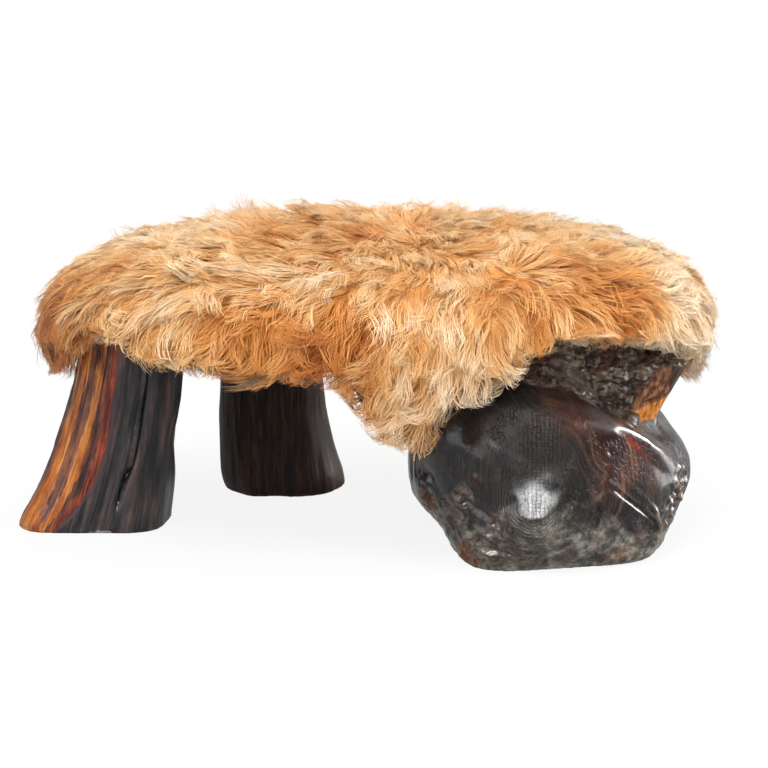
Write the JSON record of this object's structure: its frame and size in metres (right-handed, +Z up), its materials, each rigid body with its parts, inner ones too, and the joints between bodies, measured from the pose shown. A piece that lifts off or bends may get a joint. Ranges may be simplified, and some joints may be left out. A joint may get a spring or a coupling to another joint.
{
  "type": "burl wood stool",
  "caption": "Low rustic bench stool: a padded plank seat under a draped long-haired sheepskin, carried by split log posts and a large polished root burl.",
  "frame": {"origin": "on the floor below the middle of the stool's bounding box", "axes": "+X along the seat towards the burl leg, +Y from the front, where the long flap of the fleece hangs, to the back, +Z up"},
  "size_m": [0.9123, 0.5181, 0.4028],
  "materials": {
    "post_wood": "rubbed varnish, orange sapwood stripes beside dark heartwood",
    "dark_post_wood": "dark satin varnish over split bark side",
    "burl_wood": "high gloss varnish over figured root burl",
    "plank_wood": "rough sawn, unfinished",
    "joinery_wood": "plain hardwood",
    "plated_steel": "zinc plated",
    "foam": "open cell foam",
    "muslin": "plain unbleached weave",
    "hide_leather": "tanned skin side of a sheepskin",
    "nail_brass": "plain",
    "wool_pile": "long wavy wool in cream, tan and rust"
  },
  "bodies": {
    "root": {"left_leg": "post_wood", "rear_leg": "dark_post_wood", "burl_leg": "burl_wood", "seat_plank": "plank_wood", "left_wedge": "joinery_wood", "rear_wedge": "joinery_wood", "burl_dowels": "joinery_wood", "lag_screws": "plated_steel", "lag_washers": "plated_steel", "foam_pad": "foam", "muslin_cover": "muslin", "hide": "hide_leather", "upholstery_nails": "nail_brass", "wool": "wool_pile"}
  },
  "joints": []
}
